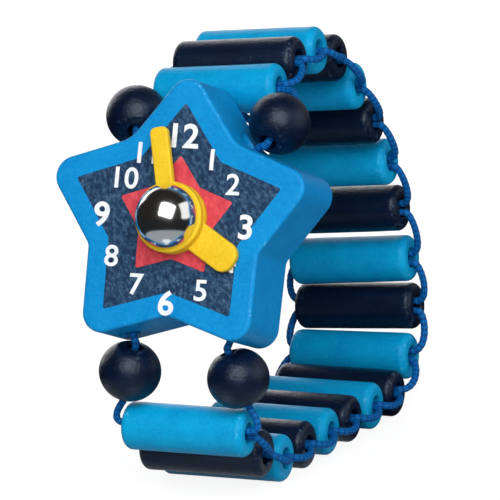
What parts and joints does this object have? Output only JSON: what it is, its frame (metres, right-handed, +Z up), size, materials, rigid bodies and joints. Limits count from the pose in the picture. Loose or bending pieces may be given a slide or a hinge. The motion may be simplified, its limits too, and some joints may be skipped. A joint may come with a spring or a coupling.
{
  "type": "toy watch",
  "caption": "Child's wooden toy watch: star case with a printed dial and two turning hands, on a bracelet of wooden tubes laced on elastic cord.",
  "frame": {"origin": "middle of the bounding box, on the table that the watch stands on", "axes": "+X across the wrist to the right of the dial, +Y from the dial to the back of the bracelet, +Z up"},
  "size_m": [0.0342, 0.0696, 0.0562],
  "materials": {
    "star_paint": "satin light-blue paint on wood, printed dial",
    "light_paint": "satin light-blue paint on wood",
    "dark_paint": "satin dark-blue paint on wood",
    "hand_paint": "satin yellow paint on wood",
    "pin_chrome": "polished",
    "cord": "braided elastic"
  },
  "bodies": {
    "tube_15": {"tube_15": "light_paint"},
    "tube_01": {"tube_01": "light_paint"},
    "tube_02": {"tube_02": "dark_paint"},
    "tube_03": {"tube_03": "light_paint"},
    "tube_04": {"tube_04": "dark_paint"},
    "tube_05": {"tube_05": "light_paint"},
    "tube_06": {"tube_06": "dark_paint"},
    "tube_07": {"tube_07": "light_paint"},
    "tube_08": {"tube_08": "dark_paint"},
    "tube_09": {"tube_09": "light_paint"},
    "tube_10": {"tube_10": "dark_paint"},
    "tube_11": {"tube_11": "light_paint"},
    "tube_12": {"tube_12": "dark_paint"},
    "tube_13": {"tube_13": "light_paint"},
    "tube_14": {"tube_14": "dark_paint"},
    "tube_16": {"tube_16": "dark_paint"},
    "tube_17": {"tube_17": "light_paint"},
    "tube_18": {"tube_18": "dark_paint"},
    "tube_19": {"tube_19": "light_paint"},
    "case": {"star_case": "star_paint", "centre_pin": "pin_chrome", "elastic_cord": "cord", "cord_knot": "cord"},
    "hour_hand": {"hour_hand": "hand_paint"},
    "minute_hand": {"minute_hand": "hand_paint"},
    "bead_top_left": {"bead_top_left": "dark_paint"},
    "bead_top_right": {"bead_top_right": "dark_paint"},
    "bead_bottom_left": {"bead_bottom_left": "dark_paint"},
    "bead_bottom_right": {"bead_bottom_right": "dark_paint"}
  },
  "joints": [
    {"name": "band_flex", "type": "hinge", "parent": "tube_16", "child": "tube_17", "pos_m": [0, -0.0068, 0.0031], "axis": [-1, 0, 0], "range_deg": [0, 9.09], "stiffness_Nm_per_rad": 0.081, "springref_deg": 0.39, "deforming": ["elastic_cord"]},
    {"name": "tube_16_bend", "type": "hinge", "parent": "tube_15", "child": "tube_16", "pos_m": [0, 0.0008, 0.0031], "axis": [-1, 0, 0], "range_deg": [0, 2], "stiffness_Nm_per_rad": 0.09, "springref_deg": 0.3},
    {"name": "tube_18_bend", "type": "hinge", "parent": "tube_17", "child": "tube_18", "pos_m": [0, -0.0144, 0.0031], "axis": [1, 0, 0], "range_deg": [0, 2.1], "stiffness_Nm_per_rad": 0.075, "springref_deg": -0.45},
    {"name": "tube_19_bend", "type": "hinge", "parent": "tube_18", "child": "tube_19", "pos_m": [0, -0.02068, 0.00514], "axis": [1, 0, 0], "range_deg": [0, 2.01], "stiffness_Nm_per_rad": 0.069, "springref_deg": -0.03},
    {"name": "case_tilt", "type": "hinge", "parent": "tube_19", "child": "case", "pos_m": [0, -0.02602, 0.00902], "axis": [1, 0, 0], "range_deg": [0, 13.27], "stiffness_Nm_per_rad": 0.062, "springref_deg": 0.32},
    {"name": "tube_01_bend", "type": "hinge", "parent": "case", "child": "tube_01", "pos_m": [0, -0.01705, 0.04741], "axis": [-1, 0, 0], "range_deg": [0, 12.27], "stiffness_Nm_per_rad": 0.0071, "springref_deg": -1.56},
    {"name": "tube_02_bend", "type": "hinge", "parent": "tube_01", "child": "tube_02", "pos_m": [-0.0013, -0.00992, 0.04993], "axis": [-1, 0, 0], "range_deg": [0, 12.07], "stiffness_Nm_per_rad": 0.0041, "springref_deg": -1.55},
    {"name": "tube_03_bend", "type": "hinge", "parent": "tube_02", "child": "tube_03", "pos_m": [-0.00118, -0.00376, 0.0523], "axis": [1, 0, 0], "range_deg": [0, 12.71], "stiffness_Nm_per_rad": 0.0021, "springref_deg": 1.24},
    {"name": "tube_04_bend", "type": "hinge", "parent": "tube_03", "child": "tube_04", "pos_m": [-0.00106, 0.00284, 0.05243], "axis": [1, 0, 0], "range_deg": [0, 15.11], "stiffness_Nm_per_rad": 0.00068, "springref_deg": 1.24},
    {"name": "tube_14_bend", "type": "hinge", "parent": "tube_15", "child": "tube_14", "pos_m": [0, 0.0008, 0.0031], "axis": [1, 0, 0], "range_deg": [0, 2], "stiffness_Nm_per_rad": 0.022, "springref_deg": 1.23},
    {"name": "tube_13_bend", "type": "hinge", "parent": "tube_14", "child": "tube_13", "pos_m": [0, 0.0084, 0.0031], "axis": [1, 0, 0], "range_deg": [0, 5.05], "stiffness_Nm_per_rad": 0.017, "springref_deg": 1.12},
    {"name": "tube_12_bend", "type": "hinge", "parent": "tube_13", "child": "tube_12", "pos_m": [0, 0.016, 0.0031], "axis": [1, 0, 0], "range_deg": [0, 10.93], "stiffness_Nm_per_rad": 0.014, "springref_deg": 0.72},
    {"name": "tube_11_bend", "type": "hinge", "parent": "tube_12", "child": "tube_11", "pos_m": [0, 0.0236, 0.0031], "axis": [-1, 0, 0], "range_deg": [0, 9.95], "stiffness_Nm_per_rad": 0.013, "springref_deg": -0.18},
    {"name": "tube_10_bend", "type": "hinge", "parent": "tube_11", "child": "tube_10", "pos_m": [-0.00012, 0.02911, 0.00673], "axis": [-1, 0, 0], "range_deg": [0, 7.67], "stiffness_Nm_per_rad": 0.011, "springref_deg": 0.3},
    {"name": "tube_09_bend", "type": "hinge", "parent": "tube_10", "child": "tube_09", "pos_m": [-0.00024, 0.03172, 0.01279], "axis": [-1, 0, 0], "range_deg": [0, 9.47], "stiffness_Nm_per_rad": 0.0082, "springref_deg": 0.66},
    {"name": "tube_08_bend", "type": "hinge", "parent": "tube_09", "child": "tube_08", "pos_m": [-0.00036, 0.03056, 0.01929], "axis": [1, 0, 0], "range_deg": [0, 6.93], "stiffness_Nm_per_rad": 0.0058, "springref_deg": -1},
    {"name": "tube_07_bend", "type": "hinge", "parent": "tube_08", "child": "tube_07", "pos_m": [-0.00047, 0.02814, 0.0266], "axis": [1, 0, 0], "range_deg": [0, 4.68], "stiffness_Nm_per_rad": 0.0035, "springref_deg": -1.17},
    {"name": "tube_06_bend", "type": "hinge", "parent": "tube_07", "child": "tube_06", "pos_m": [-0.00059, 0.0247, 0.03349], "axis": [1, 0, 0], "range_deg": [0, 3.87], "stiffness_Nm_per_rad": 0.0018, "springref_deg": -1.32},
    {"name": "tube_05_bend", "type": "hinge", "parent": "tube_06", "child": "tube_05", "pos_m": [-0.00071, 0.02032, 0.03982], "axis": [1, 0, 0], "range_deg": [0, 3.44], "stiffness_Nm_per_rad": 0.00058, "springref_deg": -1.52},
    {"name": "hour_turn", "type": "hinge", "parent": "case", "child": "hour_hand", "pos_m": [0, -0.02834, 0.03683], "axis": [0, -0.9494, 0.314], "continuous": true},
    {"name": "minute_turn", "type": "hinge", "parent": "case", "child": "minute_hand", "pos_m": [0, -0.02834, 0.03683], "axis": [0, -0.9494, 0.314], "continuous": true},
    {"name": "bead_top_left_spin", "type": "hinge", "parent": "case", "child": "bead_top_left", "pos_m": [-0.00988, -0.01705, 0.04741], "axis": [-0.3298, 0.8613, 0.3864], "continuous": true},
    {"name": "bead_bottom_left_spin", "type": "hinge", "parent": "case", "child": "bead_bottom_left", "pos_m": [-0.0075, -0.02701, 0.01635], "axis": [-0.2965, 0.128, -0.9464], "continuous": true},
    {"name": "bead_top_right_spin", "type": "hinge", "parent": "case", "child": "bead_top_right", "pos_m": [0.00988, -0.01705, 0.04741], "axis": [0.1057, 0.8459, 0.5228], "continuous": true},
    {"name": "bead_bottom_right_spin", "type": "hinge", "parent": "case", "child": "bead_bottom_right", "pos_m": [0.0075, -0.02701, 0.01635], "axis": [0.2965, 0.128, -0.9464], "continuous": true}
  ],
  "couplings": [
    {"joint": "tube_16_bend", "follows": "band_flex", "ratio": 0.21867},
    {"joint": "tube_18_bend", "follows": "band_flex", "ratio": 0.22973},
    {"joint": "tube_19_bend", "follows": "band_flex", "ratio": 0.21964},
    {"joint": "case_tilt", "follows": "band_flex", "ratio": 1.4585},
    {"joint": "tube_01_bend", "follows": "band_flex", "ratio": 1.3479},
    {"joint": "tube_02_bend", "follows": "band_flex", "ratio": 1.3258},
    {"joint": "tube_03_bend", "follows": "band_flex", "ratio": 1.3961},
    {"joint": "tube_04_bend", "follows": "band_flex", "ratio": 1.6609},
    {"joint": "tube_14_bend", "follows": "band_flex", "ratio": 0.21867},
    {"joint": "tube_13_bend", "follows": "band_flex", "ratio": 0.554},
    {"joint": "tube_12_bend", "follows": "band_flex", "ratio": 1.2007},
    {"joint": "tube_11_bend", "follows": "band_flex", "ratio": 1.0928},
    {"joint": "tube_10_bend", "follows": "band_flex", "ratio": 0.84267},
    {"joint": "tube_09_bend", "follows": "band_flex", "ratio": 1.0397},
    {"joint": "tube_08_bend", "follows": "band_flex", "ratio": 0.7605},
    {"joint": "tube_07_bend", "follows": "band_flex", "ratio": 0.5128},
    {"joint": "tube_06_bend", "follows": "band_flex", "ratio": 0.42395},
    {"joint": "tube_05_bend", "follows": "band_flex", "ratio": 0.3772}
  ]
}
